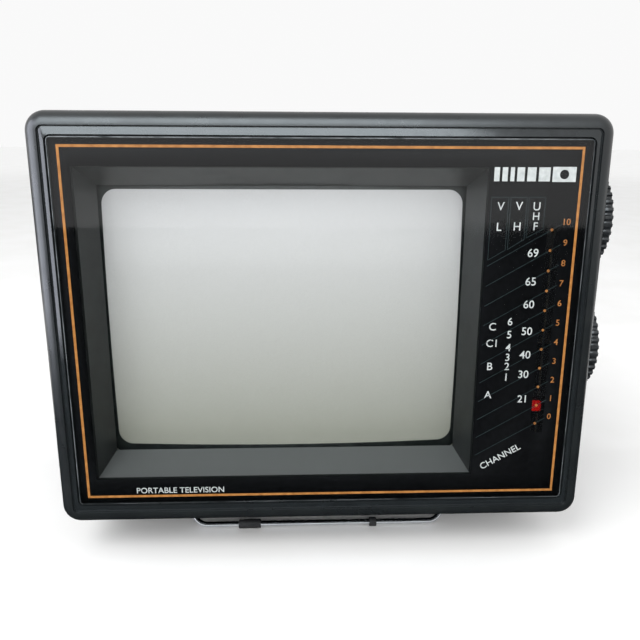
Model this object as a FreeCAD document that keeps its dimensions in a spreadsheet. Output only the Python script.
import FreeCAD, Part
import math
import os
from types import SimpleNamespace

import Sketcher

# A small portable television with a 14 cm tube, leaning back on its wire bail.
# Every piece is drawn in the upright set: X to the right, Y to the rear, Z up,
# with the middle of the front face at the origin. The whole set is then leaned
# back, so that the bail and the two rear feet stand on Z = 0.

V = FreeCAD.Vector

DIMENSIONS = {
    # front bezel and the smoked window set flush into it
    "bezel_width": 170.5,
    "bezel_height": 128.7,
    "bezel_corner": 6.0,
    "bezel_round": 4.3,
    "bezel_depth": 16.0,
    "bezel_wall": 3.0,
    "window_border_x": 6.65,
    "window_border_z": 7.35,
    "window_corner": 1.5,
    "window_thick": 2.0,
    "window_bevel": 0.35,
    "window_gap": 0.4,
    "ledge_width": 3.0,
    "ledge_thick": 2.0,
    # picture: clear part of the window, sloping mask, picture tube
    "picture_x": -12.1,
    "clear_width": 120.7,
    "clear_height": 97.3,
    "opening_width": 114.0,
    "opening_height": 87.0,
    "mask_depth": 12.0,
    "mask_wall": 1.2,
    "glass_width": 122.0,
    "glass_height": 94.0,
    "glass_corner": 9.0,
    "glass_wall": 2.6,
    "face_front": 10.8,
    "face_bulge": 600.0,
    "face_depth": 17.2,
    "funnel_length": 56.0,
    "neck_radius": 10.0,
    "neck_length": 66.0,
    "neck_wall": 1.0,
    "ear_spread_x": 66.0,
    "ear_inset": 3.75,
    # cabinet sleeve and rear cover
    "cabinet_step": 1.1,
    "cabinet_corner": 5.5,
    "wall": 2.2,
    "sleeve_length": 108.0,
    "cover_length": 26.0,
    "hump_width": 100.0,
    "hump_height": 78.0,
    "hump_depth": 42.0,
    "hump_taper": 7.0,
    "hump_corner": 8.0,
    "vent_width": 2.4,
    "vent_pitch": 4.6,
    "screw_inset": 10.2,
    # screws
    "screw_radius": 1.5,
    "screw_head_radius": 2.7,
    "screw_head_height": 2.0,
    "fit": 0.05,
    # knobs on the right side and the tuning drive
    "knob_radius": 16.0,
    "knob_thick": 3.15,
    "knob_gap": 0.5,
    "knob_y": 20.5,
    "tuning_z": 33.1,
    "volume_z": -8.2,
    "rib_count": 40.0,
    "shaft_radius": 3.0,
    "pot_radius": 8.0,
    "pot_length": 10.5,
    "bushing_radius": 4.2,
    "bracket_x": 66.0,
    "bracket_thick": 1.0,
    "drum_radius": 10.5,
    "drum_width": 4.0,
    "cord_x": 71.4,
    "cord_y": 7.0,
    "cord_radius": 0.35,
    "post_radius": 4.0,
    "post_z": 46.0,
    "rod_x": 76.0,
    "rod_y": 6.2,
    "rod_radius": 1.0,
    "pointer_x": 69.8,
    "pointer_z": -26.6,
    "pointer_width": 2.7,
    "pointer_tall": 3.0,
    # band slider on the right side
    "slider_y": 62.0,
    "slider_z": 12.0,
    "slider_travel": 10.0,
    # wire bail
    "wire_radius": 0.95,
    "bail_width": 89.0,
    "bail_x": -1.0,
    "bar_y": 16.0,
    "bar_drop": 11.25,
    "bend_radius": 5.0,
    "bail_pivot_y": 20.0,
    "bail_pivot_drop": 1.95,
    "stub_length": 6.0,
    "sleeve_radius": 1.6,
    # rubber feet
    "foot_radius": 6.0,
    "foot_height": 4.0,
    "foot_spread": 62.0,
    "front_foot_y": 34.0,
    "rear_foot_inset": 12.0,
    # telescopic aerial
    "aerial_x": 62.0,
    "aerial_behind": 7.0,
    "aerial_drop": -4.0,
    "aerial_length": 124.0,
    "tube_radius": 2.5,
    "tube_wall": 0.3,
    "tube_step": 3.0,
    # board and what stands on it
    "board_width": 132.0,
    "board_end_gap": 6.0,
    "board_thick": 1.6,
    "board_y": 36.0,
    "board_lift": 4.0,
    # loudspeaker
    "speaker_y": 94.0,
    "speaker_z": 8.0,
    "speaker_radius": 25.0,
    "speaker_depth": 18.0,
    "magnet_radius": 12.0,
    # rear controls and sockets
    "control_radius": 4.4,
    "control_pitch": 18.0,
    "control_x": -52.0,
    "control_lift": 5.4,
    "control_proud": 6.0,
    "socket_x": 62.0,
    "earphone_z": -14.0,
    "power_z": -34.0,
    "aerial_socket_z": 20.0,
    "jack_radius": 1.8,
    "jack_length": 14.0,
}

doc = FreeCAD.newDocument("television")
sheet = doc.addObject("Spreadsheet::Sheet", "Sizes")
for row, (alias, number) in enumerate(DIMENSIONS.items(), start=1):
    sheet.set(f"A{row}", alias)
    sheet.set(f"B{row}", str(number))
    sheet.setAlias(f"B{row}", alias)
doc.recompute()


class Size:
    """A number together with the spreadsheet expression that it comes from."""

    def __init__(self, value, text):
        self.value = value
        self.text = text

    def __add__(self, other):
        other = as_size(other)
        return Size(self.value + other.value, f"({self.text} + {other.text})")

    def __sub__(self, other):
        other = as_size(other)
        return Size(self.value - other.value, f"({self.text} - {other.text})")

    def __mul__(self, other):
        other = as_size(other)
        return Size(self.value * other.value, f"({self.text} * {other.text})")

    def __truediv__(self, other):
        other = as_size(other)
        return Size(self.value / other.value, f"({self.text} / {other.text})")

    def __neg__(self):
        return Size(-self.value, f"(-1 * {self.text})")

    def __radd__(self, other):
        return as_size(other) + self

    def __rsub__(self, other):
        return as_size(other) - self

    def __rmul__(self, other):
        return as_size(other) * self


def as_size(number):
    if isinstance(number, Size):
        return number
    return Size(float(number), f"({float(number)!r})")


def root(number):
    return Size(math.sqrt(number.value), f"sqrt({number.text})")


def sine(angle):
    return Size(math.sin(math.radians(angle.value)), f"sin({angle.text} * 1 deg)")


def cosine(angle):
    return Size(math.cos(math.radians(angle.value)), f"cos({angle.text} * 1 deg)")


def arc_tangent(rise, run):
    """Angle of a slope in degrees, as a plain number."""
    return Size(
        math.degrees(math.atan2(rise.value, run.value)), f"(atan2({rise.text}; {run.text}) / 1 deg)"
    )


def arc_sine(ratio):
    return Size(math.degrees(math.asin(ratio.value)), f"(asin({ratio.text}) / 1 deg)")


S = SimpleNamespace(**{alias: Size(sheet.get(alias), f"Sizes.{alias}") for alias in DIMENSIONS})


def bind(obj, **properties):
    """Bind properties of an object to sizes; a double underscore stands for a dot."""
    for name, size in properties.items():
        obj.setExpression(name.replace("__", "."), as_size(size).text)


# ---------------------------------------------------------------- sketches

PLANES = {"X": "YZ_Plane", "Y": "XZ_Plane", "Z": "XY_Plane"}
TURNS = {
    "X": FreeCAD.Rotation(V(1, 1, 1), 120),
    "Y": FreeCAD.Rotation(V(1, 0, 0), 90),
    "Z": FreeCAD.Rotation(),
}


def sketch(owner, name, across, at):
    """An empty sketch square to an axis, at a place along it, in a body or on its own.

    Its two directions are Y, Z across X; X, Z across Y; and X, Y across Z.
    """
    if owner is None:
        drawing = doc.addObject("Sketcher::SketchObject", name)
        drawing.Placement = FreeCAD.Placement(V(), TURNS[across])
        bind(drawing, **{f"Placement__Base__{across.lower()}": at})
        return drawing
    drawing = owner.newObject("Sketcher::SketchObject", name)
    for plane in owner.Origin.OriginFeatures:
        if plane.Role == PLANES[across]:
            drawing.AttachmentSupport = [(plane, "")]
    drawing.MapMode = "FlatFace"
    offset = -as_size(at) if across == "Y" else as_size(at)
    bind(drawing, AttachmentOffset__Base__z=offset)
    return drawing


def fix(drawing, kind, elements, size):
    """Add a dimension to a sketch and bind it to a size."""
    size = as_size(size)
    index = drawing.addConstraint(Sketcher.Constraint(kind, *elements, size.value))
    drawing.setExpression(f"Constraints[{index}]", size.text)


def line(drawing, start, end):
    return drawing.addGeometry(Part.LineSegment(V(*start, 0), V(*end, 0)))


def draw_circle(drawing, u, v, radius):
    u, v, radius = as_size(u), as_size(v), as_size(radius)
    index = drawing.addGeometry(Part.Circle(V(u.value, v.value, 0), V(0, 0, 1), radius.value))
    fix(drawing, "DistanceX", (-1, 1, index, 3), u)
    fix(drawing, "DistanceY", (-1, 1, index, 3), v)
    fix(drawing, "Radius", (index,), radius)


def draw_polygon(drawing, points):
    points = [(as_size(u), as_size(v)) for u, v in points]
    count = len(points)
    for i in range(count):
        (u0, v0), (u1, v1) = points[i], points[(i + 1) % count]
        line(drawing, (u0.value, v0.value), (u1.value, v1.value))
    for i in range(count):
        drawing.addConstraint(Sketcher.Constraint("Coincident", i, 2, (i + 1) % count, 1))
        fix(drawing, "DistanceX", (-1, 1, i, 1), points[i][0])
        fix(drawing, "DistanceY", (-1, 1, i, 1), points[i][1])


def draw_rectangle(drawing, u, v, width, height, corner=None):
    """A rectangle about (u, v), with round corners where a radius is given."""
    u, v, width, height = as_size(u), as_size(v), as_size(width), as_size(height)
    left, right = u - width / 2, u + width / 2
    low, high = v - height / 2, v + height / 2
    if corner is None:
        draw_polygon(drawing, [(left, low), (right, low), (right, high), (left, high)])
        return
    corner = as_size(corner)
    x0, x1, z0, z1, r = left.value, right.value, low.value, high.value, corner.value
    first = line(drawing, (x0 + r, z0), (x1 - r, z0))
    line(drawing, (x1, z0 + r), (x1, z1 - r))
    line(drawing, (x1 - r, z1), (x0 + r, z1))
    line(drawing, (x0, z1 - r), (x0, z0 + r))
    centres = [(x1 - r, z0 + r), (x1 - r, z1 - r), (x0 + r, z1 - r), (x0 + r, z0 + r)]
    for quarter, centre in enumerate(centres):
        circle = Part.Circle(V(*centre, 0), V(0, 0, 1), r)
        start = (quarter - 1) * math.pi / 2
        drawing.addGeometry(Part.ArcOfCircle(circle, start, start + math.pi / 2))
    for i in range(4):
        arc = first + 4 + i
        drawing.addConstraint(Sketcher.Constraint("Tangent", first + i, 2, arc, 1))
        drawing.addConstraint(Sketcher.Constraint("Tangent", arc, 2, first + (i + 1) % 4, 1))
        drawing.addConstraint(Sketcher.Constraint("Vertical" if i % 2 else "Horizontal", first + i))
        if i:
            drawing.addConstraint(Sketcher.Constraint("Equal", first + 4, arc))
    fix(drawing, "Radius", (first + 4,), corner)
    fix(drawing, "DistanceY", (-1, 1, first, 1), low)
    fix(drawing, "DistanceX", (-1, 1, first + 1, 1), right)
    fix(drawing, "DistanceY", (-1, 1, first + 2, 1), high)
    fix(drawing, "DistanceX", (-1, 1, first + 3, 1), left)


# ---------------------------------------------------------------- features


def new_body(name):
    return doc.addObject("PartDesign::Body", name)


def pad(body, drawing, length, rearward=False):
    """Pad along +X, +Z or, with rearward, from a sketch across Y towards +Y."""
    feature = body.newObject("PartDesign::Pad", drawing.Name + "_pad")
    feature.Profile = drawing
    feature.Reversed = rearward
    bind(feature, Length=length)
    drawing.Visibility = False
    return feature


def pocket(body, drawing, length, back=False):
    """Pocket towards +Y, -X or -Z from its sketch; back turns it the other way."""
    feature = body.newObject("PartDesign::Pocket", drawing.Name + "_pocket")
    feature.Profile = drawing
    feature.Reversed = back
    bind(feature, Length=length)
    return feature


def slab(body, name, at, depth, u, v, width, height, corner=None):
    """A rectangular pad across Y, reaching from at to at + depth."""
    drawing = sketch(body, name, "Y", at)
    draw_rectangle(drawing, u, v, width, height, corner)
    return pad(body, drawing, depth, rearward=True)


def recess(body, name, at, depth, u, v, width, height, corner=None):
    """A rectangular pocket across Y, reaching from at to at + depth."""
    drawing = sketch(body, name, "Y", at)
    draw_rectangle(drawing, u, v, width, height, corner)
    return pocket(body, drawing, depth)


def pegs(body, name, at, depth, places, radius):
    """Round pads across Y at several (x, z) places."""
    drawing = sketch(body, name, "Y", at)
    for u, v in places:
        draw_circle(drawing, u, v, radius)
    return pad(body, drawing, depth, rearward=True)


def holes(body, name, at, depth, places, radius):
    """Round pockets across Y at several (x, z) places."""
    drawing = sketch(body, name, "Y", at)
    for u, v in places:
        draw_circle(drawing, u, v, radius)
    return pocket(body, drawing, depth)


def turn(body, name, profile, across="X", axis="V_Axis"):
    """A solid of revolution about one of its sketch's own axes."""
    drawing = sketch(body, name, across, 0)
    draw_polygon(drawing, profile)
    feature = body.newObject("PartDesign::Revolution", name + "_turned")
    feature.Profile = drawing
    feature.ReferenceAxis = (drawing, [axis])
    feature.Angle = 360
    return feature


def repeat(body, feature, direction, length, count):
    """Repeat a feature in a line; direction is the Role of one of the body's axes."""
    pattern = body.newObject("PartDesign::LinearPattern", feature.Name + "_row")
    pattern.Originals = [feature]
    for axis in body.Origin.OriginFeatures:
        if axis.Role == direction:
            pattern.Direction = (axis, [""])
    pattern.Occurrences = count
    bind(pattern, Length=length)
    body.Tip = pattern
    return pattern


def edges_where(shape, test):
    return [f"Edge{i}" for i, edge in enumerate(shape.Edges, start=1) if test(edge)]


def dress(body, kind, base, size, test):
    """Fillet or chamfer the edges of a feature that pass a test."""
    doc.recompute()
    feature = body.newObject(f"PartDesign::{kind}", f"{base.Name}_{kind.lower()}")
    feature.Base = (base, edges_where(base.Shape, test))
    bind(feature, **{"Radius" if kind == "Fillet" else "Size": size})
    return feature


def lies_at_y(place):
    """Test for edges that lie in the plane Y = place."""
    level = as_size(place).value

    def test(edge):
        box = edge.BoundBox
        return abs(box.YMin - level) < 1e-4 and abs(box.YMax - level) < 1e-4

    return test


def block(name, x, y, z):
    """A box between two places along each axis."""
    box = doc.addObject("Part::Box", name)
    for axis, side, (low, high) in zip("xyz", ("Length", "Width", "Height"), (x, y, z)):
        low, high = as_size(low), as_size(high)
        bind(box, **{side: high - low, f"Placement__Base__{axis}": low})
    return box


ALONG = {
    "X": FreeCAD.Rotation(V(0, 1, 0), 90),
    "Y": FreeCAD.Rotation(V(1, 0, 0), -90),
    "Z": FreeCAD.Rotation(),
}


def rod(name, along, low, high, centre, radius):
    """A cylinder along an axis; centre gives the other two coordinates in order."""
    cylinder = doc.addObject("Part::Cylinder", name)
    cylinder.Placement = FreeCAD.Placement(V(), ALONG[along])
    low, high = as_size(low), as_size(high)
    bind(cylinder, Radius=radius, Height=high - low)
    places = list(centre)
    for axis in "XYZ":
        place = low if axis == along else places.pop(0)
        bind(cylinder, **{f"Placement__Base__{axis.lower()}": place})
    return cylinder


def pipe(name, along, low, high, centre, outer, inner):
    """A tube along an axis."""
    solid = rod(name + "_outside", along, low, high, centre, outer)
    low, high = as_size(low), as_size(high)
    bore = rod(name + "_bore", along, low - 1, high + 1, centre, inner)
    return cut(name, solid, bore)


def cut(name, base, *tools):
    result = doc.addObject("Part::Cut", name)
    result.Base = base
    result.Tool = tools[0] if len(tools) == 1 else fuse(name + "_tools", *tools)
    return result


def fuse(name, *shapes):
    result = doc.addObject("Part::MultiFuse", name)
    result.Shapes = list(shapes)
    return result


def common(name, base, tool):
    result = doc.addObject("Part::Common", name)
    result.Base = base
    result.Tool = tool
    return result


def loft(name, sections):
    """A solid through rounded rectangles across Y: (y, x, z, width, height, corner)."""
    result = doc.addObject("Part::Loft", name)
    drawings = []
    for i, (at, u, v, width, height, corner) in enumerate(sections, start=1):
        drawing = sketch(None, f"{name}_section{i}", "Y", at)
        draw_rectangle(drawing, u, v, width, height, corner)
        drawings.append(drawing)
    result.Sections = drawings
    result.Solid = True
    result.Ruled = True
    return result


def round_wire(points, radii):
    """A wire of straight runs joined by tangent arcs, one radius per inner point."""
    points = [V(*(as_size(c).value for c in point)) for point in points]
    edges = []
    start = points[0]
    for i, radius in enumerate(radii, start=1):
        corner = points[i]
        before = (points[i - 1] - corner).normalize()
        after = (points[i + 1] - corner).normalize()
        half = before.getAngle(after) / 2
        reach = as_size(radius).value / math.tan(half)
        bisector = (before + after).normalize()
        centre = corner + bisector * (as_size(radius).value / math.sin(half))
        middle = centre - bisector * as_size(radius).value
        arc_start, arc_end = corner + before * reach, corner + after * reach
        edges.append(Part.LineSegment(start, arc_start).toShape())
        edges.append(Part.Arc(arc_start, middle, arc_end).toShape())
        start = arc_end
    edges.append(Part.LineSegment(start, points[-1]).toShape())
    return Part.Wire(edges)


def bent_rod(name, wire, radius):
    """A round rod swept along a wire, with its length checked against its volume."""
    radius = as_size(radius).value
    first = wire.Edges[0]
    direction = first.tangentAt(first.FirstParameter)
    ring = Part.Wire([Part.Circle(first.valueAt(first.FirstParameter), direction, radius).toShape()])
    solid = wire.makePipeShell([ring], True, False)
    expected = math.pi * radius**2 * wire.Length
    if abs(solid.Volume - expected) > 0.02 * expected:
        raise ValueError(f"{name} is not a plain tube")
    feature = doc.addObject("Part::Feature", name)
    feature.Shape = solid
    return feature


# ---------------------------------------------------------------- the lean

cabinet_width = S.bezel_width - 2 * S.cabinet_step
cabinet_height = S.bezel_height - 2 * S.cabinet_step
underside = -cabinet_height / 2
right_side = cabinet_width / 2
inner_right = right_side - S.wall
sleeve_end = S.bezel_depth + S.sleeve_length
panel_back = sleeve_end + S.cover_length
hump_back = panel_back + S.hump_depth
knob_inner = S.bezel_width / 2 + S.knob_gap
knob_outer = knob_inner + S.knob_thick
inner_width = S.bezel_width - 2 * S.bezel_wall
inner_height = S.bezel_height - 2 * S.bezel_wall

# sizes that follow the case, so that a wider, taller or deeper case keeps its pieces together
S.window_width = S.bezel_width - 2 * S.window_border_x
S.window_height = S.bezel_height - 2 * S.window_border_z
S.ear_spread_z = inner_height / 2 - S.ear_inset
S.bar_z = underside - S.bar_drop
S.rear_foot_y = sleeve_end + S.rear_foot_inset
S.aerial_y = panel_back + S.aerial_behind
S.aerial_z = cabinet_height / 2 - S.aerial_drop
S.board_length = panel_back - S.board_end_gap - S.board_y

foot_edge_y = S.rear_foot_y + S.foot_radius
foot_edge_z = underside - S.foot_height
run = foot_edge_y - S.bar_y
rise = foot_edge_z - S.bar_z
lean = arc_tangent(rise, run) + arc_sine(S.sleeve_radius / root(run * run + rise * rise))

front_y = (
    S.bezel_round * cosine(lean) - (S.bezel_height / 2 - S.bezel_round) * sine(lean) - S.bezel_round
)
back_y = hump_back * cosine(lean) + (S.hump_height / 2 - S.hump_taper) * sine(lean)
shift_x = -(knob_outer - S.bezel_width / 2) / 2
shift_y = -(front_y + back_y) / 2
shift_z = S.sleeve_radius + S.bar_y * sine(lean) - S.bar_z * cosine(lean)

parts = []


def lean_back(label, feature):
    """Label a finished sub-part and give it the place of the leaning set."""
    feature.Label = label
    rotation = FreeCAD.Rotation(V(1, 0, 0), -lean.value)
    feature.Placement = FreeCAD.Placement(V(shift_x.value, shift_y.value, shift_z.value), rotation)
    bind(
        feature,
        Placement__Base__x=shift_x,
        Placement__Base__y=shift_y,
        Placement__Base__z=shift_z,
        Placement__Rotation__Angle=-lean,
    )
    parts.append(feature)


def piece(label, feature):
    """A sub-part of one solid; a primitive or boolean keeps its own place inside a compound."""
    if feature.TypeId.startswith("Part::") and feature.TypeId != "Part::Feature":
        holder = doc.addObject("Part::Compound", label + "_piece")
        holder.Links = [feature]
        feature = holder
    lean_back(label, feature)


def group(label, features):
    """Several equal pieces that share one node."""
    holder = doc.addObject("Part::Compound", label + "_group")
    holder.Links = list(features)
    lean_back(label, holder)


# ---------------------------------------------------------------- bezel and window

ledge_back = S.window_thick + S.ledge_thick
seat_width = S.window_width + 2 * S.window_gap
seat_height = S.window_height + 2 * S.window_gap
sight_width = S.window_width - 2 * S.ledge_width
sight_height = S.window_height - 2 * S.ledge_width
ear_places = [
    (S.picture_x + side * S.ear_spread_x, end * S.ear_spread_z)
    for side in (-1, 1)
    for end in (-1, 1)
]
bracket_screw_x = S.bracket_x + S.bracket_thick + 4
bracket_places = [(bracket_screw_x, end * S.ear_spread_z) for end in (-1, 1)]
ear_y = S.face_front + S.face_depth - 8
boss_radius = S.screw_radius + 1.8
bracket_front = S.cord_y + 2
bore_radius = S.screw_radius + S.fit

bezel = new_body("FrontBezel")
rim = slab(bezel, "bezel_rim", 0, S.bezel_depth, 0, 0, S.bezel_width, S.bezel_height, S.bezel_corner)
dress(bezel, "Fillet", rim, S.bezel_round, lies_at_y(0))
recess(bezel, "window_seat", 0, S.window_thick, 0, 0, seat_width, seat_height, S.window_corner)
recess(bezel, "sight", 0, ledge_back + 1, 0, 0, sight_width, sight_height)
recess(
    bezel, "bezel_inside", ledge_back, S.bezel_depth, 0, 0, inner_width, inner_height, S.bezel_wall
)
pegs(bezel, "tube_bosses", S.window_thick + 1, ear_y - S.window_thick - 1, ear_places, boss_radius)
holes(bezel, "tube_boss_bores", ear_y - 8, 9, ear_places, bore_radius)
pegs(
    bezel,
    "bracket_bosses",
    S.window_thick + 1,
    bracket_front - S.window_thick - 1,
    bracket_places,
    boss_radius,
)
holes(bezel, "bracket_boss_bores", bracket_front - 5, 6, bracket_places, bore_radius)
piece("front_bezel", bezel)

window = new_body("Window")
sheet_pad = slab(
    window, "window_sheet", 0, S.window_thick, 0, 0, S.window_width, S.window_height, S.window_corner
)
dress(window, "Chamfer", sheet_pad, S.window_bevel, lies_at_y(0))
piece("window", window)

mask_front = S.window_thick + 0.2
flange_back = mask_front + 1.4
flange_gap = 0.2
slot_x = S.pointer_x + 0.6
slot_height = 2 * S.post_z - 14


def mask_loft(name, grow, front, back):
    """The sloping funnel of the mask, grown outwards by a wall."""
    slope = S.mask_depth - mask_front
    lean_in_x = (S.clear_width - S.opening_width) / slope
    lean_in_z = (S.clear_height - S.opening_height) / slope
    sections = []
    for at in (front, back):
        width = S.clear_width - (at - mask_front) * lean_in_x + 2 * grow
        height = S.clear_height - (at - mask_front) * lean_in_z + 2 * grow
        sections.append((at, S.picture_x, 0, width, height, None))
    return loft(name, sections)


flange = block(
    "mask_flange",
    (-sight_width / 2 + flange_gap, sight_width / 2 - flange_gap),
    (mask_front, flange_back),
    (-sight_height / 2 + flange_gap, sight_height / 2 - flange_gap),
)
mask_solid = fuse("mask_solid", flange, mask_loft("mask_outside", S.mask_wall, mask_front, S.mask_depth))
dial_slot = block(
    "dial_slot",
    (slot_x - 3, slot_x + 3),
    (mask_front - 1, flange_back + 1),
    (-slot_height / 2, slot_height / 2),
)
piece(
    "screen_mask",
    cut(
        "mask",
        mask_solid,
        mask_loft("mask_inside", as_size(0), mask_front - 1, S.mask_depth + 1),
        dial_slot,
    ),
)

# ---------------------------------------------------------------- cabinet sleeve

floor_top = underside + S.wall
board_bottom = floor_top + S.board_lift
board_top = board_bottom + S.board_thick
board_end = S.board_y + S.board_length
board_screws = [
    (side * (S.board_width / 2 - 5), at)
    for side in (-1, 1)
    for at in (S.board_y + 6, sleeve_end - 24)
]
cover_screws = [
    (side * (right_side - S.screw_inset), end * (cabinet_height / 2 - S.screw_inset))
    for side in (-1, 1)
    for end in (-1, 1)
]
pivot_z = underside - S.bail_pivot_drop
leg_half = S.bail_width / 2
stub_end = leg_half + S.stub_length
lug_low = pivot_z - S.wire_radius - 1.2
lug_radius = S.wire_radius + S.fit

cabinet = new_body("Cabinet")
slab(
    cabinet,
    "sleeve",
    S.bezel_depth,
    S.sleeve_length,
    0,
    0,
    cabinet_width,
    cabinet_height,
    S.cabinet_corner,
)
recess(
    cabinet,
    "sleeve_inside",
    S.bezel_depth,
    S.sleeve_length,
    0,
    0,
    cabinet_width - 2 * S.wall,
    cabinet_height - 2 * S.wall,
    S.cabinet_corner - S.wall,
)
screw_boss = S.screw_inset - S.wall + 0.4
for index, (u, v) in enumerate(cover_screws):
    side = 1 if u.value > 0 else -1
    end = 1 if v.value > 0 else -1
    slab(
        cabinet,
        f"corner_boss{index}",
        sleeve_end - 18,
        18,
        u + side * (screw_boss / 2 - 2.2),
        v + end * (screw_boss / 2 - 2.2),
        screw_boss + 4.4,
        screw_boss + 4.4,
    )
holes(cabinet, "corner_bores", sleeve_end - 15, 16, cover_screws, bore_radius)

standoffs = sketch(cabinet, "standoffs", "Z", floor_top - 0.5)
for u, v in board_screws:
    draw_circle(standoffs, u, v, boss_radius)
pad(cabinet, standoffs, S.board_lift + 0.5)
standoff_bores = sketch(cabinet, "standoff_bores", "Z", board_bottom)
for u, v in board_screws:
    draw_circle(standoff_bores, u, v, bore_radius)
pocket(cabinet, standoff_bores, S.board_lift)

shaft_ports = sketch(cabinet, "shaft_ports", "X", right_side + 1)
for level in (S.tuning_z, S.volume_z):
    draw_circle(shaft_ports, S.knob_y, level, S.shaft_radius + 1)
pocket(cabinet, shaft_ports, S.wall + 2)

slider_slot = sketch(cabinet, "slider_slot", "X", right_side + 1)
draw_rectangle(slider_slot, S.slider_y, S.slider_z, S.slider_travel + 5, 2.8)
pocket(cabinet, slider_slot, S.wall + 2)

grille_rows = 9
speaker_slot = sketch(cabinet, "speaker_slot", "X", -right_side + S.wall + 1)
draw_rectangle(
    speaker_slot,
    S.speaker_y - (grille_rows - 1) / 2 * S.vent_pitch,
    S.speaker_z,
    S.vent_width,
    S.speaker_radius * 1.6,
    S.vent_width / 2 - 0.05,
)
speaker_cut = pocket(cabinet, speaker_slot, S.wall + 2)
repeat(cabinet, speaker_cut, "Y_Axis", (grille_rows - 1) * S.vent_pitch, grille_rows)

vent_rows = 8
top_vent = sketch(cabinet, "top_vent", "Z", cabinet_height / 2 + 1)
draw_rectangle(
    top_vent,
    S.picture_x,
    sleeve_end - 24 - (vent_rows - 1) * S.vent_pitch,
    70,
    S.vent_width,
    S.vent_width / 2 - 0.05,
)
vent_cut = pocket(cabinet, top_vent, S.wall + 2)
repeat(cabinet, vent_cut, "Y_Axis", (vent_rows - 1) * S.vent_pitch, vent_rows)

for side in (-1, 1):
    lug = sketch(cabinet, f"bail_lug{side + 1}", "Z", lug_low)
    near = S.bail_x + side * (leg_half + 1.4)
    far = S.bail_x + side * (stub_end + 1.5)
    draw_rectangle(lug, (near + far) / 2, S.bail_pivot_y, side * (far - near), 2 * S.bail_pivot_drop + 3)
    pad(cabinet, lug, underside + 0.5 - lug_low)
lug_bore = sketch(cabinet, "lug_bore", "X", S.bail_x + stub_end + 0.3)
draw_circle(lug_bore, S.bail_pivot_y, pivot_z, lug_radius)
pocket(cabinet, lug_bore, 2 * stub_end + 0.6)
foot_dimples = sketch(cabinet, "foot_dimples", "Z", underside + 0.6)
front_feet_places = [(side * S.foot_spread, S.front_foot_y) for side in (-1, 1)]
for u, v in front_feet_places:
    draw_circle(foot_dimples, u, v, S.foot_radius + S.fit)
pocket(cabinet, foot_dimples, 1.6)
piece("cabinet", cabinet)

# ---------------------------------------------------------------- rear cover

controls = [S.control_x + i * S.control_pitch for i in range(4)]
control_z = board_top + S.control_lift
panel_front = panel_back - S.wall
socket_depth = 13
cover = new_body("RearCover")
cover_block = slab(
    cover,
    "cover_block",
    sleeve_end,
    S.cover_length,
    0,
    0,
    cabinet_width,
    cabinet_height,
    S.cabinet_corner,
)
dress(cover, "Fillet", cover_block, 2.0, lies_at_y(panel_back))


def hump(name, kind, front, back, shrink):
    """The tapered housing over the neck of the picture tube, or the space inside it."""
    sections = []
    for index, (at, narrow) in enumerate(((front, 0), (back, 2 * S.hump_taper))):
        drawing = sketch(cover, f"{name}{index}", "Y", at)
        draw_rectangle(
            drawing,
            S.picture_x,
            0,
            S.hump_width - narrow - 2 * shrink,
            S.hump_height - narrow - 2 * shrink,
            S.hump_corner - shrink,
        )
        sections.append(drawing)
    feature = cover.newObject(f"PartDesign::{kind}", name)
    feature.Profile = sections[0]
    feature.Sections = [sections[1]]
    feature.Ruled = True
    return feature


outer_hump = hump("hump_outside", "AdditiveLoft", panel_back - 0.5, hump_back, as_size(0))
dress(cover, "Fillet", outer_hump, 3.0, lies_at_y(hump_back))
recess(
    cover,
    "cover_inside",
    sleeve_end,
    S.cover_length - S.wall,
    0,
    0,
    cabinet_width - 2 * S.wall,
    cabinet_height - 2 * S.wall,
    S.cabinet_corner - S.wall,
)
hump("hump_inside", "SubtractiveLoft", panel_front - 1, hump_back - S.wall, S.wall)
tunnel_radius = S.screw_head_radius + 1.7
pegs(cover, "tunnels", sleeve_end, S.cover_length - 0.5, cover_screws, tunnel_radius)
holes(cover, "tunnel_bores", sleeve_end + 3, S.cover_length, cover_screws, S.screw_head_radius + 0.3)
holes(cover, "screw_bores", sleeve_end - 1, 6, cover_screws, bore_radius + 0.1)
holes(
    cover,
    "control_ports",
    panel_front - 1,
    S.wall + 2,
    [(u, control_z) for u in controls],
    S.control_radius + 0.4,
)
holes(
    cover,
    "socket_ports",
    panel_front - 1,
    S.wall + 2,
    [(S.socket_x, S.earphone_z), (S.socket_x, S.power_z), (S.socket_x, S.aerial_socket_z)],
    5.0,
)
hump_slot = sketch(cover, "hump_slot", "Y", hump_back - S.wall - 1)
hump_rows = 9
draw_rectangle(
    hump_slot,
    S.picture_x,
    -(hump_rows - 1) / 2 * S.vent_pitch,
    S.hump_width * 0.55,
    S.vent_width,
    S.vent_width / 2 - 0.05,
)
hump_cut = pocket(cover, hump_slot, S.wall + 2)
repeat(cover, hump_cut, "Z_Axis", (hump_rows - 1) * S.vent_pitch, hump_rows)

bracket_top = S.aerial_z - 7
aerial_boss = sketch(cover, "aerial_boss", "Z", bracket_top - 9)
draw_rectangle(
    aerial_boss,
    S.aerial_x,
    (panel_back + S.aerial_y) / 2 + 2,
    12,
    S.aerial_y - panel_back + 5,
)
pad(cover, aerial_boss, 9)
aerial_bore = sketch(cover, "aerial_bore", "Z", bracket_top + 1)
draw_circle(aerial_bore, S.aerial_x, S.aerial_y, S.shaft_radius + S.fit)
pocket(cover, aerial_bore, 12)
rear_dimples = sketch(cover, "rear_dimples", "Z", underside + 0.6)
for side in (-1, 1):
    draw_circle(rear_dimples, side * S.foot_spread, S.rear_foot_y, S.foot_radius + S.fit)
pocket(cover, rear_dimples, 1.6)
piece("rear_cover", cover)

# ---------------------------------------------------------------- feet


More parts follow.
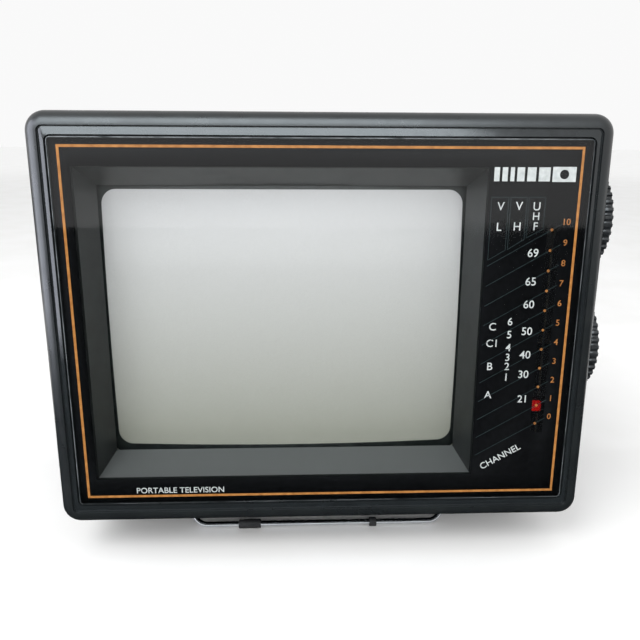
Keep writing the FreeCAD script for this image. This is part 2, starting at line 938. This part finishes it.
def foot(name, x, y):
    stem = rod(name + "_pad", "Z", underside - S.foot_height, underside + 0.6, (x, y), S.foot_radius)
    dish = rod(
        name + "_dish",
        "Z",
        underside - S.foot_height - 1,
        underside - S.foot_height + 0.8,
        (x, y),
        S.foot_radius - 2.5,
    )
    return cut(name, stem, dish)


rear_feet_places = [(side * S.foot_spread, S.rear_foot_y) for side in (-1, 1)]
group(
    "rubber_feet",
    [foot(f"foot{i}", *at) for i, at in enumerate(front_feet_places + rear_feet_places)],
)

# ---------------------------------------------------------------- wire bail

left_x, right_x = S.bail_x - leg_half, S.bail_x + leg_half
bail_route = [
    (S.bail_x - stub_end, S.bail_pivot_y, pivot_z),
    (left_x, S.bail_pivot_y, pivot_z),
    (left_x, S.bar_y, S.bar_z),
    (right_x, S.bar_y, S.bar_z),
    (right_x, S.bail_pivot_y, pivot_z),
    (S.bail_x + stub_end, S.bail_pivot_y, pivot_z),
]
stub_bend = S.wire_radius + 0.7
bail_wire = round_wire(bail_route, [stub_bend, S.bend_radius, S.bend_radius, stub_bend])
piece("wire_bail", bent_rod("WireBail", bail_wire, S.wire_radius))


def bar_sleeve(name, start, end):
    """A rubber tube on the straight bar of the bail."""
    return pipe(
        name, "X", start, end, (S.bar_y, S.bar_z), S.sleeve_radius, S.wire_radius + 0.02
    )


group(
    "bail_sleeves",
    [
        bar_sleeve("long_sleeve", S.bail_x - 28.4, S.bail_x - 20.6),
        bar_sleeve("short_ring", S.bail_x + 18.3, S.bail_x + 20.8),
    ],
)

# ---------------------------------------------------------------- picture tube

face_back = S.face_front + S.face_depth
face_low = loft(
    "face_block",
    [
        (S.face_front - 1, S.picture_x, 0, S.glass_width, S.glass_height, S.glass_corner),
        (face_back, S.picture_x, 0, S.glass_width, S.glass_height, S.glass_corner),
    ],
)
bulge = doc.addObject("Part::Sphere", "face_sphere")
bind(
    bulge,
    Radius=S.face_bulge,
    Placement__Base__x=S.picture_x,
    Placement__Base__y=S.face_front + S.face_bulge,
)
face_inside = loft(
    "face_inside",
    [
        (
            at,
            S.picture_x,
            0,
            S.glass_width - 2 * S.glass_wall,
            S.glass_height - 2 * S.glass_wall,
            S.glass_corner - S.glass_wall,
        )
        for at in (S.face_front + 8, face_back + 1)
    ],
)
piece("crt_faceplate", cut("faceplate", common("face_solid", face_low, bulge), face_inside))

funnel_end = face_back + S.funnel_length
neck_end = funnel_end + S.neck_length


def funnel_sections(shrink):
    """Rounded rectangles that close from the face to the neck."""
    sections = []
    for part in (0, 0.28, 0.57, 0.84, 1):
        ease = (1 - part) * (1 + 0.12 * part)
        neck_width = 2 * S.neck_radius
        width = neck_width + (S.glass_width - neck_width) * ease - 2 * shrink
        height = neck_width + (S.glass_height - neck_width) * ease - 2 * shrink
        corner = S.glass_corner + (S.neck_radius - S.glass_corner - 0.1) * min(1, part * 1.2) - shrink
        if 0 < part < 1:
            corner = height * (0.2 + 0.27 * part)
        sections.append((face_back + part * S.funnel_length, S.picture_x, 0, width, height, corner))
    return sections


bulb = fuse(
    "bulb_solid",
    loft("bulb_outside", funnel_sections(as_size(0))),
    rod("neck_outside", "Y", funnel_end - 2, neck_end, (S.picture_x, 0), S.neck_radius),
)
bulb_space = fuse(
    "bulb_space",
    loft("bulb_inside", funnel_sections(S.glass_wall)),
    rod(
        "neck_inside",
        "Y",
        funnel_end - 6,
        neck_end - 2,
        (S.picture_x, 0),
        S.neck_radius - S.neck_wall,
    ),
)
piece("crt_funnel", cut("funnel", bulb, bulb_space))

gun_front = neck_end - 48
piece(
    "electron_gun",
    fuse(
        "gun",
        rod("gun_anode", "Y", gun_front, gun_front + 20, (S.picture_x, 0), S.neck_radius - 3.4),
        rod("gun_stem", "Y", gun_front + 19, neck_end - 3, (S.picture_x, 0), S.neck_radius - 5),
        rod("gun_cup", "Y", gun_front + 24, gun_front + 36, (S.picture_x, 0), S.neck_radius - 3.4),
    ),
)

pins = [
    (
        S.picture_x + (S.neck_radius - 4) * math.cos(2 * math.pi * i / 8),
        (S.neck_radius - 4) * math.sin(2 * math.pi * i / 8),
    )
    for i in range(7)
]
base_end = neck_end + 5
pin_rods = [rod(f"pin{i}", "Y", base_end - 1, base_end + 5, at, 0.5) for i, at in enumerate(pins)]
base_cap = rod("base_cap", "Y", neck_end, base_end, (S.picture_x, 0), S.neck_radius - 0.4)
piece("crt_base", fuse("base", base_cap, *pin_rods))

socket_end = base_end + 8
pin_ports = [rod(f"pin_port{i}", "Y", base_end, base_end + 6, at, 0.6) for i, at in enumerate(pins)]
socket_block = rod("socket_block", "Y", base_end, socket_end, (S.picture_x, 0), S.neck_radius + 3)
piece("crt_socket", cut("tube_socket", socket_block, *pin_ports))
piece(
    "socket_board",
    block(
        "socket_card",
        (S.picture_x - 25, S.picture_x + 25),
        (socket_end, socket_end + S.board_thick),
        (-22, 22),
    ),
)

band_front = face_back - 11
band_outside = loft(
    "band_outside",
    [
        (
            at,
            S.picture_x,
            0,
            S.glass_width + 1.6,
            S.glass_height + 1.6,
            S.glass_corner + 0.8,
        )
        for at in (band_front, band_front + 7)
    ],
)
band_inside = loft(
    "band_inside",
    [
        (at, S.picture_x, 0, S.glass_width, S.glass_height, S.glass_corner)
        for at in (band_front - 1, band_front + 8)
    ],
)
ear_tabs = []
for index, (u, v) in enumerate(ear_places):
    side = 1 if index > 1 else -1
    end = 1 if v.value > 0 else -1
    inner_x = S.picture_x + side * (S.glass_width / 2 - 12)
    inner_z = end * (S.glass_height / 2 + 0.2)
    x_range = sorted((inner_x, u + side * 2.6), key=lambda size: size.value)
    z_range = sorted((inner_z, v + end * 2.4), key=lambda size: size.value)
    ear_tabs.append(block(f"ear{index}", x_range, (ear_y, ear_y + 1), z_range))
ear_bores = [
    rod(f"ear_bore{i}", "Y", ear_y - 1, ear_y + 2, at, bore_radius) for i, at in enumerate(ear_places)
]
piece(
    "crt_band",
    cut("tension_band", fuse("band_solid", band_outside, *ear_tabs), band_inside, *ear_bores),
)

yoke_front = face_back + S.funnel_length * 0.8
yoke_bore = S.neck_radius + 0.5
flare_bore = S.neck_radius + (S.glass_width / 2 - S.neck_radius) * 0.26
yoke = new_body("YokeFormer")
turn(
    yoke,
    "yoke_profile",
    [
        (flare_bore, yoke_front),
        (flare_bore + 12, yoke_front),
        (flare_bore + 12, yoke_front + 2),
        (flare_bore + 2, yoke_front + 2),
        (yoke_bore + 3.5, yoke_front + 14),
        (yoke_bore + 3.5, yoke_front + 24),
        (yoke_bore + 11, yoke_front + 24),
        (yoke_bore + 11, yoke_front + 26),
        (yoke_bore, yoke_front + 26),
        (yoke_bore, yoke_front + 13),
    ],
    across="Z",
    axis="V_Axis",
)
yoke_holder = doc.addObject("Part::Compound", "yoke_in_place")
yoke_holder.Links = [yoke]
bind(yoke_holder, Placement__Base__x=S.picture_x)
piece("yoke_former", yoke_holder)
piece(
    "yoke_core",
    pipe(
        "ferrite_ring",
        "Y",
        yoke_front + 6,
        yoke_front + 22,
        (S.picture_x, 0),
        flare_bore + 9,
        flare_bore + 2.5,
    ),
)
ring_at = yoke_front + 27
ring_pieces = []
for index in range(2):
    start = ring_at + 2 * index
    ring = pipe(
        f"magnet_ring{index}", "Y", start, start + 1.5, (S.picture_x, 0), yoke_bore + 5, yoke_bore
    )
    tab = block(
        f"magnet_tab{index}",
        (S.picture_x - 2.5, S.picture_x + 2.5),
        (start, start + 1.5),
        (yoke_bore + 3, yoke_bore + 9),
    )
    ring_pieces.append(fuse(f"magnet{index}", ring, tab))
group("centring_rings", ring_pieces)

# ---------------------------------------------------------------- anode cap and lead

cap_y = face_back + S.funnel_length * 0.42
cap_z = S.glass_height * 0.36
cap_tilt = 38.0
anode_cap = doc.addObject("Part::Cylinder", "anode_cup")
anode_cap.Placement = FreeCAD.Placement(V(), FreeCAD.Rotation(V(1, 0, 0), -cap_tilt))
bind(
    anode_cap,
    Radius=9,
    Height=3,
    Placement__Base__x=S.picture_x,
    Placement__Base__y=cap_y,
    Placement__Base__z=cap_z,
)
piece("anode_cap", anode_cap)

coil_x, coil_y = S.socket_x - 18, sleeve_end - 16
coil_base = board_top + 9
coil_top = coil_base + 28
lead_start = (S.picture_x, cap_y + 3.6, cap_z + 4.4)
lead_route = [
    lead_start,
    (S.picture_x, cap_y + 8, cap_z + 12),
    (S.picture_x + 18, cap_y + 18, cap_z + 15),
    (coil_x - 14, coil_y - 20, cap_z),
    (coil_x - 9.5, coil_y - 6, coil_top + 22),
    (coil_x - 9, coil_y, coil_top + 0.3),
]
piece("anode_lead", bent_rod("AnodeLead", round_wire(lead_route, [3.5, 8, 10, 8]), 1.2))

# ---------------------------------------------------------------- boards and components

board = block(
    "board_sheet",
    (-S.board_width / 2, S.board_width / 2),
    (S.board_y, board_end),
    (board_bottom, board_top),
)
board_bores = [
    rod(f"board_bore{i}", "Z", board_bottom - 1, board_top + 1, at, bore_radius)
    for i, at in enumerate(board_screws)
]
piece("main_board", cut("board_drilled", board, *board_bores))

piece("flyback_coil", pipe("line_coil", "Z", coil_base, coil_top, (coil_x, coil_y), 13, 5.6))
core_y = coil_y - 3.5
piece(
    "flyback_core",
    cut(
        "line_core",
        block(
            "core_block",
            (coil_x - 3.5, coil_x + 3.5),
            (core_y, core_y + 30),
            (board_top, coil_top + 8),
        ),
        block(
            "core_window",
            (coil_x - 5, coil_x + 5),
            (core_y + 7, core_y + 23),
            (coil_base - 1, coil_top + 1),
        ),
    ),
)

capacitor_sizes = [(8, 25), (8, 25), (6.3, 20), (5, 16)]
capacitors = [
    rod(
        f"capacitor{i}",
        "Z",
        board_top,
        board_top + tall,
        (S.control_x + 4 + 18 * i, board_end - 25),
        radius,
    )
    for i, (radius, tall) in enumerate(capacitor_sizes)
]
group("filter_capacitors", capacitors)

sink_x = -S.board_width / 2 + 22
sink_base = block(
    "sink_base", (sink_x, sink_x + 2), (S.board_y + 14, S.board_y + 54), (board_top, board_top + 18)
)
fins = [
    block(
        f"fin{i}",
        (sink_x + 1.9, sink_x + 10),
        (S.board_y + 14 + 6.2 * i, S.board_y + 15.4 + 6.2 * i),
        (board_top, board_top + 18),
    )
    for i in range(7)
]
piece("heat_sink", fuse("sink", sink_base, *fins))
group(
    "coil_cans",
    [
        block(
            f"coil_can{i}",
            (-10 + 14 * i, -3 + 14 * i),
            (S.board_y + 12, S.board_y + 19),
            (board_top, board_top + 9),
        )
        for i in range(4)
    ],
)
tuner_back = panel_front - socket_depth - 0.4
piece(
    "tuner_box",
    block("tuner", (S.socket_x - 9, S.socket_x + 7), (tuner_back - 50, tuner_back), (2, 44)),
)

pots = []
for index, u in enumerate(controls):
    case = block(
        f"control_case{index}",
        (u - 5, u + 5),
        (board_end - 9, board_end - 1),
        (board_top, board_top + 10.6),
    )
    bore = rod(f"control_bore{index}", "Y", board_end - 8, board_end, (u, control_z), 1.5 + S.fit)
    pots.append(cut(f"control_pot{index}", case, bore))
group("control_pots", pots)
for name, u in zip(("brightness", "contrast", "vertical_hold", "horizontal_hold"), controls):
    knob_end = panel_back + S.control_proud
    head = rod(name + "_head", "Y", board_end, knob_end, (u, control_z), S.control_radius)
    stem = rod(name + "_stem", "Y", board_end - 7, board_end + 1, (u, control_z), 1.5)
    slot = block(
        name + "_slot",
        (u - 0.5, u + 0.5),
        (knob_end - 1.5, knob_end + 1),
        (control_z - S.control_radius - 1, control_z + S.control_radius + 1),
    )
    piece(name + "_knob", cut(name, fuse(name + "_turned", head, stem), slot))


def jack(name, level, body_radius, nose_radius, bore, depth):
    """A round socket whose nose stands in a port of the rear panel."""
    place = (S.socket_x, level)
    case = rod(name + "_case", "Y", panel_front - socket_depth, panel_front - 0.3, place, body_radius)
    nose = rod(name + "_nose", "Y", panel_front - 1, panel_back + 0.5, place, nose_radius)
    hole = rod(name + "_hole", "Y", panel_back + 0.5 - depth, panel_back + 1.5, place, bore)
    return cut(name, fuse(name + "_solid", case, nose), hole)


piece("earphone_jack", jack("earphone", S.earphone_z, 5.5, 4.8, S.jack_radius, S.jack_length))
power_case = jack("power", S.power_z, 5.8, 4.8, 2.8, 10)
power_pin = rod(
    "power_pin", "Y", panel_back - 10.5, panel_back - 1, (S.socket_x, S.power_z), 1.0
)
piece("power_inlet", fuse("power_socket", power_case, power_pin))
piece("aerial_socket", jack("aerial", S.aerial_socket_z, 5.5, 4.8, S.jack_radius, S.jack_length))

# ---------------------------------------------------------------- loudspeaker

inner_left = -inner_right
speaker_back = inner_left + S.speaker_depth
speaker_centre = (S.speaker_y, S.speaker_z)


def speaker_cone_shape(name, shift, shrink):
    """A cone that narrows from the rim of the loudspeaker to its magnet."""
    cone = doc.addObject("Part::Cone", name)
    cone.Placement = FreeCAD.Placement(V(), ALONG["X"])
    bind(
        cone,
        Radius1=S.speaker_radius - 2 - shrink,
        Radius2=S.magnet_radius - 2 - shrink,
        Height=S.speaker_depth - 3,
        Placement__Base__x=inner_left + 1.5 + shift,
        Placement__Base__y=S.speaker_y,
        Placement__Base__z=S.speaker_z,
    )
    return cone


basket_ring = rod(
    "basket_ring", "X", inner_left, inner_left + 1.5, speaker_centre, S.speaker_radius
)
basket_plate = rod(
    "basket_plate", "X", speaker_back - 2, speaker_back, speaker_centre, S.magnet_radius
)
basket_mouth = rod(
    "basket_mouth", "X", inner_left - 1, inner_left + 1.6, speaker_centre, S.speaker_radius - 3
)
basket_shell = fuse("basket_shell", basket_ring, speaker_cone_shape("basket_outside", 0, -1), basket_plate)
piece(
    "speaker_basket",
    cut("basket", basket_shell, basket_mouth, speaker_cone_shape("basket_inside", -0.01, 0)),
)
piece(
    "speaker_cone",
    cut(
        "paper_cone",
        speaker_cone_shape("cone_outside", -0.1, 1.2),
        speaker_cone_shape("cone_inside", -0.6, 1.7),
    ),
)
piece(
    "speaker_magnet",
    rod("magnet", "X", speaker_back, speaker_back + 9, speaker_centre, S.magnet_radius + 3),
)

# ---------------------------------------------------------------- knobs, pots and dial drive

pot_front = S.bracket_x - S.pot_length
bushing_end = S.bracket_x + S.bracket_thick + 1.4


def pot(name, level):
    place = (S.knob_y, level)
    case = rod(name + "_case", "X", pot_front, S.bracket_x, place, S.pot_radius)
    bushing = rod(name + "_bushing", "X", S.bracket_x - 1, bushing_end, place, S.bushing_radius)
    hole = rod(
        name + "_bore", "X", pot_front + 2, bushing_end + 1, place, S.shaft_radius + S.fit
    )
    lugs = block(
        name + "_lugs",
        (pot_front + 3, pot_front + 4),
        (S.knob_y + S.pot_radius - 1, S.knob_y + S.pot_radius + 5),
        (level - 5, level + 5),
    )
    return cut(name, fuse(name + "_solid", case, bushing, lugs), hole)


piece("tuning_pot", pot("tuning_pot_body", S.tuning_z))
piece("volume_pot", pot("volume_pot_body", S.volume_z))

shaft_end = knob_outer - 1.2
for name, level in (("tuning", S.tuning_z), ("volume", S.volume_z)):
    place = (S.knob_y, level)
    shaft = rod(name + "_rod", "X", pot_front + 2.5, shaft_end, place, S.shaft_radius)
    flat = block(
        name + "_flat",
        (knob_inner - 3, shaft_end + 1),
        (S.knob_y - S.shaft_radius, S.knob_y + S.shaft_radius),
        (level + 1.6, level + S.shaft_radius + 1),
    )
    piece(name + "_shaft", cut(name + "_spindle", shaft, flat))

    knob = new_body(name.capitalize() + "Knob")

    def knob_sketch(suffix, at):
        """A sketch across X whose origin is on the knob's own axis."""
        drawing = sketch(knob, f"{name}_{suffix}", "X", at)
        bind(drawing, AttachmentOffset__Base__x=S.knob_y, AttachmentOffset__Base__y=level)
        return drawing

    disc = knob_sketch("disc", knob_inner)
    draw_circle(disc, 0, 0, S.knob_radius)
    disc_pad = pad(knob, disc, S.knob_thick)
    dress(knob, "Fillet", disc_pad, 0.6, lambda edge: edge.BoundBox.XMin > knob_outer.value - 1e-4)
    dish = knob_sketch("dish", knob_outer)
    draw_circle(dish, 0, 0, S.knob_radius - 2.6)
    pocket(knob, dish, 0.7)
    cap = knob_sketch("cap", knob_outer - 1.6)
    draw_circle(cap, 0, 0, S.knob_radius - 7)
    pad(knob, cap, 1.6)
    hub = knob_sketch("hub", inner_right + 0.6)
    draw_circle(hub, 0, 0, S.shaft_radius + 0.7)
    pad(knob, hub, knob_inner - inner_right)
    seat = knob_sketch("seat", inner_right)
    draw_circle(seat, 0, 0, S.shaft_radius + 0.02)
    pocket(knob, seat, shaft_end - inner_right + 0.02, back=True)
    mark = knob_sketch("mark", knob_outer)
    draw_rectangle(mark, 0, S.knob_radius - 4, 0.9, 5)
    pocket(knob, mark, 1.0)
    rib = knob_sketch("rib", knob_outer + 1)
    draw_circle(rib, S.knob_radius + 0.25, 0, 0.85)
    rib_cut = pocket(knob, rib, S.knob_thick + 2)
    doc.recompute()
    ribs = knob.newObject("PartDesign::PolarPattern", name + "_ribs")
    ribs.Originals = [rib_cut]
    ribs.Axis = (disc, ["N_Axis"])
    ribs.Angle = 360
    bind(ribs, Occurrences=S.rib_count)
    knob.Tip = ribs
    piece(name + "_knob", knob)

drum_low = S.cord_x - S.drum_width / 2
drum_high = S.cord_x + S.drum_width / 2
tuning_place = (S.knob_y, S.tuning_z)
drum_ends = rod("drum_ends", "X", drum_low, drum_high, tuning_place, S.drum_radius + 1.1)
groove = cut(
    "drum_groove",
    rod("groove_outside", "X", S.cord_x - 0.8, S.cord_x + 0.8, tuning_place, S.drum_radius + 2),
    rod("groove_inside", "X", S.cord_x - 1, S.cord_x + 1, tuning_place, S.drum_radius),
)
drum_bore = rod("drum_bore", "X", drum_low - 1, drum_high + 1, tuning_place, S.shaft_radius + 0.02)
piece("dial_drum", cut("drum", drum_ends, groove, drum_bore))

bracket_back = S.bracket_x + S.bracket_thick
bracket_half = S.post_z + 7.5
plate = block(
    "bracket_plate",
    (S.bracket_x, bracket_back),
    (bracket_front, S.knob_y + 14),
    (-bracket_half, bracket_half),
)
bracket_tabs = []
for side, (u, v) in zip((-1, 1), bracket_places):
    tab_range = sorted((side * (bracket_half - 2), v + side * 2.4), key=lambda size: size.value)
    bracket_tabs.append(
        block(f"bracket_tab{side + 1}", (S.bracket_x, u + 4), (bracket_front, bracket_front + 1), tab_range)
    )
    lug_range = sorted((side * (bracket_half - 2.5), side * bracket_half), key=lambda size: size.value)
    bracket_tabs.append(
        block(
            f"rod_lug{side + 1}",
            (S.bracket_x, S.rod_x + S.rod_radius + 1.2),
            (S.rod_y - 2, bracket_front + 1),
            lug_range,
        )
    )
bracket_cuts = [
    rod(
        f"bushing_port{i}",
        "X",
        S.bracket_x - 1,
        bracket_back + 1,
        (S.knob_y, level),
        S.bushing_radius + S.fit,
    )
    for i, level in enumerate((S.tuning_z, S.volume_z))
] + [
    rod(
        "rod_port",
        "Z",
        -bracket_half + 1,
        bracket_half - 1,
        (S.rod_x, S.rod_y),
        S.rod_radius + 0.02,
    ),
]
bracket_cuts += [
    rod(f"bracket_bore{i}", "Y", bracket_front - 1, bracket_front + 2, at, bore_radius)
    for i, at in enumerate(bracket_places)
]
cord_clear = S.cord_radius + S.fit
post_y = S.cord_y + S.post_radius + cord_clear
rear_post_y = S.knob_y + S.post_radius + 4.5
post_places = [(post_y, S.post_z), (post_y, -S.post_z), (rear_post_y, -S.post_z)]
posts = [
    rod(f"post{i}", "X", S.bracket_x, drum_high, at, S.post_radius)
    for i, at in enumerate(post_places)
]
bracket_solid = fuse("bracket_solid", plate, *bracket_tabs, *posts)
piece("dial_bracket", cut("bracket", bracket_solid, *bracket_cuts))
piece(
    "pointer_rod",
    rod("guide", "Z", -bracket_half + 1, bracket_half - 1, (S.rod_x, S.rod_y), S.rod_radius),
)


def loop_round(circles, x):
    """The tight closed loop round circles (y, z, radius), listed anticlockwise from +X."""
    circles = [(V(x, y, z), radius) for y, z, radius in circles]
    exits = []
    entries = []
    for index, (centre, radius) in enumerate(circles):
        following, next_radius = circles[(index + 1) % len(circles)]
        away = following - centre
        heading = math.atan2(away.z, away.y)
        normal = heading - math.acos((radius - next_radius) / away.Length)
        out = V(0, math.cos(normal), math.sin(normal))
        exits.append((centre + out * radius, out))
        entries.append((following + out * next_radius, out))
    edges = []
    for index, (centre, radius) in enumerate(circles):
        entry, entry_out = entries[index - 1]
        leave, leave_out = exits[index]
        middle = centre + (entry_out + leave_out).normalize() * radius
        edges.append(Part.Arc(entry, middle, leave).toShape())
        edges.append(Part.LineSegment(leave, entries[index][0]).toShape())
    return Part.Wire(edges)


cord_circles = [
    (S.knob_y.value, S.tuning_z.value, (S.drum_radius + cord_clear).value),
    (post_places[0][0].value, post_places[0][1].value, (S.post_radius + cord_clear).value),
    (post_places[1][0].value, post_places[1][1].value, (S.post_radius + cord_clear).value),
    (post_places[2][0].value, post_places[2][1].value, (S.post_radius + cord_clear).value),
]
loop = loop_round(cord_circles, S.cord_x.value)
ring_start = loop.OrderedEdges[0]
cord_ring = Part.Wire(
    [
        Part.Circle(
            ring_start.valueAt(ring_start.FirstParameter),
            ring_start.tangentAt(ring_start.FirstParameter),
            S.cord_radius.value,
        ).toShape()
    ]
)
cord_shape = loop.makePipeShell([cord_ring], True, False)
dial_cord = doc.addObject("Part::Feature", "DialCord")
dial_cord.Shape = cord_shape
piece("dial_cord", dial_cord)

carriage_front = flange_back + 0.5
carriage_back = S.cord_y + S.cord_radius + 0.8
flag_back = carriage_front + 1.6
carriage_tall = 6
carriage = block(
    "carriage_block",
    (S.pointer_x - S.pointer_width / 2, S.rod_x + S.rod_radius + 1.2),
    (flag_back, carriage_back),
    (S.pointer_z - carriage_tall / 2, S.pointer_z + carriage_tall / 2),
)
carriage_cuts = [
    rod(
        "cord_port",
        "Z",
        S.pointer_z - carriage_tall,
        S.pointer_z + carriage_tall,
        (S.cord_x, S.cord_y),
        S.cord_radius + 0.3,
    ),
    rod(
        "guide_port",
        "Z",
        S.pointer_z - carriage_tall,
        S.pointer_z + carriage_tall,
        (S.rod_x, S.rod_y),
        S.rod_radius + S.fit,
    ),
]
piece("pointer_carriage", cut("carriage", carriage, *carriage_cuts))
piece(
    "dial_pointer",
    block(
        "pointer_flag",
        (S.pointer_x - S.pointer_width / 2, S.pointer_x + S.pointer_width / 2),
        (carriage_front, flag_back),
        (S.pointer_z - S.pointer_tall / 2, S.pointer_z + S.pointer_tall / 2),
    ),
)

# ---------------------------------------------------------------- band slider

slider_start = S.slider_y - S.slider_travel / 2
piece(
    "band_slider",
    fuse(
        "slider",
        block(
            "slider_cap",
            (right_side + 0.4, right_side + 3),
            (slider_start - 4, slider_start + 4),
            (S.slider_z - 3, S.slider_z + 3),
        ),
        block(
            "slider_stem",
            (inner_right - 4, right_side + 1),
            (slider_start - 1.5, slider_start + 1.5),
            (S.slider_z - 1, S.slider_z + 1),
        ),
    ),
)
piece(
    "band_switch",
    cut(
        "switch",
        block(
            "switch_case",
            (inner_right - 9, inner_right - 0.3),
            (S.slider_y - S.slider_travel / 2 - 8, S.slider_y + S.slider_travel / 2 + 8),
            (S.slider_z - 5, S.slider_z + 5),
        ),
        block(
            "switch_slot",
            (inner_right - 5, inner_right + 1),
            (S.slider_y - S.slider_travel / 2 - 2.5, S.slider_y + S.slider_travel / 2 + 2.5),
            (S.slider_z - 1.4, S.slider_z + 1.4),
        ),
    ),
)

# ---------------------------------------------------------------- telescopic aerial

collar_high = bracket_top + 1.5
fork_floor = collar_high + 2
lug_half = 2.4
fork_half = 4.2
fork_eye = 3.0
pin_radius = 1.0
pin_head = 0.9
aerial_pivot = (S.aerial_x, S.aerial_z)
post_axis = (S.aerial_x, S.aerial_y)
post_parts = [
    rod("post_stem", "Z", bracket_top - 10, bracket_top + 0.5, post_axis, S.shaft_radius),
    rod("post_collar", "Z", bracket_top, collar_high, post_axis, 5),
    block(
        "fork_base",
        (S.aerial_x - fork_eye, S.aerial_x + fork_eye),
        (S.aerial_y - fork_half, S.aerial_y + fork_half),
        (collar_high - 0.5, fork_floor),
    ),
]
for side in (-1, 1):
    ear_range = sorted(
        (S.aerial_y + side * (lug_half + 0.1), S.aerial_y + side * fork_half),
        key=lambda size: size.value,
    )
    post_parts.append(
        block(
            f"fork_ear{side + 1}",
            (S.aerial_x - fork_eye, S.aerial_x + fork_eye),
            ear_range,
            (fork_floor - 0.5, S.aerial_z),
        )
    )
    post_parts.append(rod(f"fork_eye{side + 1}", "Y", *ear_range, aerial_pivot, fork_eye))
pin_port = rod(
    "fork_bore", "Y", S.aerial_y - 6, S.aerial_y + 6, aerial_pivot, pin_radius + 0.02
)
piece("aerial_post", cut("swivel_post", fuse("post_solid", *post_parts), pin_port))
pin_front = S.aerial_y - fork_half
pin_back = S.aerial_y + fork_half
pin_ends = [
    rod("pin_shank", "Y", pin_front - 0.4, pin_back + 0.4, aerial_pivot, pin_radius),
    rod("pin_head", "Y", pin_front - pin_head, pin_front, aerial_pivot, pin_radius + 0.8),
    rod("pin_tail", "Y", pin_back, pin_back + pin_head, aerial_pivot, pin_radius + 0.8),
]
piece("aerial_pin", fuse("pin", *pin_ends))

tube_start = S.aerial_x - 4
tube_end = tube_start - S.aerial_length
aerial_axis = (S.aerial_y, S.aerial_z)
eye = rod(
    "tube_eye", "Y", S.aerial_y - lug_half, S.aerial_y + lug_half, aerial_pivot, fork_eye - 0.3
)
plug = rod("tube_plug", "X", tube_start - 5, S.aerial_x - 1.5, aerial_axis, lug_half - 0.2)
eye_bore = rod(
    "tube_eye_bore", "Y", S.aerial_y - 4, S.aerial_y + 4, aerial_pivot, pin_radius + S.fit
)
outer_tube = pipe(
    "first_tube", "X", tube_end, tube_start, aerial_axis, S.tube_radius, S.tube_radius - S.tube_wall
)
piece("aerial_outer_tube", cut("outer_tube", fuse("outer_solid", outer_tube, plug, eye), eye_bore))

stage = S.tube_wall + S.fit
for index, name in enumerate(("middle", "inner"), start=1):
    radius = S.tube_radius - index * stage
    piece(
        f"aerial_{name}_tube",
        pipe(
            name + "_tube",
            "X",
            tube_end - index * S.tube_step,
            tube_start - 8 - index,
            aerial_axis,
            radius,
            radius - S.tube_wall,
        ),
    )
tip_end = tube_end - 3 * S.tube_step
piece(
    "aerial_tip_rod",
    fuse(
        "tip_rod",
        rod("tip_wire", "X", tip_end - 1, tube_start - 12, aerial_axis, S.tube_radius - 3 * stage),
        rod("tip_button", "X", tip_end - 3.5, tip_end, aerial_axis, S.tube_radius - 0.1),
    ),
)

# ---------------------------------------------------------------- screws


def screw(name, head_at, length, place, along="Y", sense=-1):
    """A pan-head screw; the shank leaves the head's seat towards sense."""
    head_at = as_size(head_at)
    head = sorted((head_at, head_at - sense * S.screw_head_height), key=lambda size: size.value)
    shank = sorted((head_at - sense * 0.5, head_at + sense * length), key=lambda size: size.value)
    slot_depth = head_at - sense * S.screw_head_height
    slot = sorted((slot_depth + sense * 0.8, slot_depth - sense), key=lambda size: size.value)
    u, v = place
    solid = fuse(
        name + "_solid",
        rod(name + "_head", along, *head, place, S.screw_head_radius),
        rod(name + "_shank", along, *shank, place, S.screw_radius),
    )
    wide = S.screw_head_radius + 1
    if along == "Y":
        blade = block(name + "_blade", (u - 0.4, u + 0.4), slot, (v - wide, v + wide))
    else:
        blade = block(name + "_blade", (u - 0.4, u + 0.4), (v - wide, v + wide), slot)
    return cut(name, solid, blade)


group(
    "cover_screws",
    [screw(f"cover_screw{i}", sleeve_end + 3, 14, at) for i, at in enumerate(cover_screws)],
)
inside_screws = [screw(f"tube_screw{i}", ear_y + 1, 7, at) for i, at in enumerate(ear_places)]
inside_screws += [
    screw(f"board_screw{i}", board_top, 4.6, at, along="Z") for i, at in enumerate(board_screws)
]
inside_screws += [
    screw(f"bracket_screw{i}", bracket_front + 1, 4.6, at) for i, at in enumerate(bracket_places)
]
group("inside_screws", inside_screws)

# ---------------------------------------------------------------- check and write

doc.recompute()
for obj in doc.Objects:
    if "Invalid" in obj.State or "Error" in obj.State:
        raise ValueError(f"{obj.Name} failed: {obj.State}")
for part in parts:
    if part.Shape.isNull() or not part.Shape.isValid() or not part.Shape.Solids:
        raise ValueError(f"{part.Label} has no valid solid")

os.makedirs("parts", exist_ok=True)
for part in parts:
    part.Shape.exportStep(f"parts/{part.Label}.step")
    box = part.Shape.BoundBox
    print(f"{part.Label:22s} {len(part.Shape.Solids):2d} solid(s) {part.Shape.Volume / 1000:8.2f} cm3")
print(f"{len(parts)} sub-parts, lean {lean.value:.2f} degrees")
